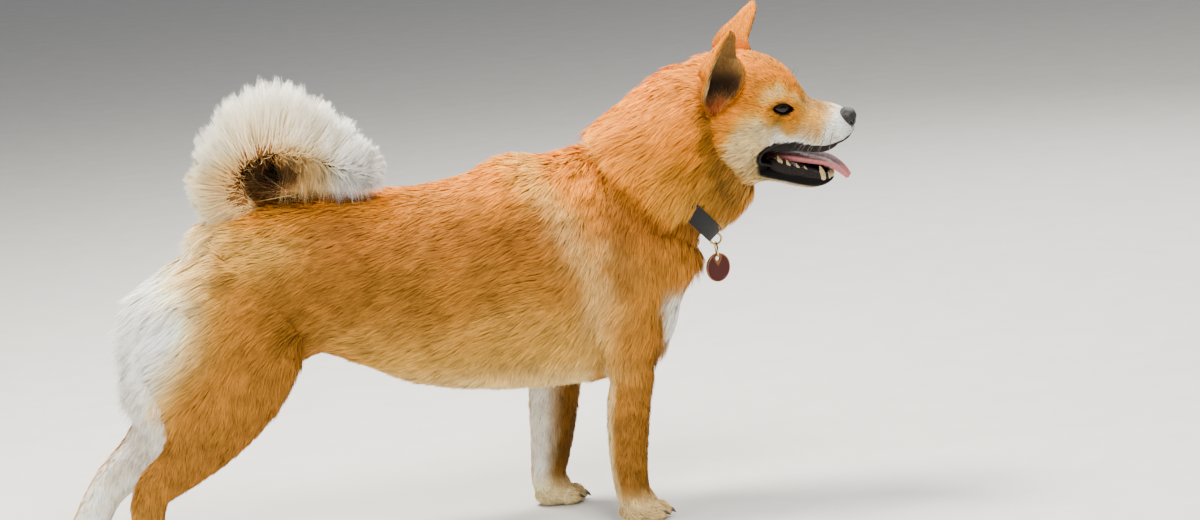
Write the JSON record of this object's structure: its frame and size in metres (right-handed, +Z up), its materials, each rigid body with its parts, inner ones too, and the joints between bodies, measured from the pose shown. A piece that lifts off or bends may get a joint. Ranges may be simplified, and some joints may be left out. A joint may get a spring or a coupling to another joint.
{
  "type": "standing shiba inu dog",
  "caption": "Still life-size shiba inu standing with turned head, open mouth, pricked ears, curled plume tail, and a collar with ring and round tag.",
  "frame": {"origin": "on the ground below the middle of the whole dog", "axes": "+X forward along the dog's body, +Y to the dog's left, +Z up"},
  "size_m": [0.8801, 0.1823, 0.5298],
  "materials": {
    "coat_red": "short double coat",
    "coat_cream": "long soft coat",
    "lip_skin": "moist black skin",
    "tongue_skin": "moist pink skin",
    "eye_ball": "wet dark brown eye",
    "collar_web": "black woven web",
    "ring_metal": "polished",
    "tag_enamel": "maroon enamel"
  },
  "bodies": {
    "root": {"torso": "coat_red", "neck": "coat_red", "head": "coat_red", "lower_jaw": "coat_cream", "tongue": "tongue_skin", "nose": "lip_skin", "eye_left": "eye_ball", "eye_right": "eye_ball", "ear_left": "coat_red", "ear_right": "coat_red", "foreleg_left": "coat_red", "foreleg_right": "coat_red", "hindleg_left": "coat_red", "hindleg_right": "coat_red", "tail": "coat_cream", "collar": "collar_web", "collar_ring": "ring_metal", "tag": "tag_enamel"}
  },
  "joints": []
}
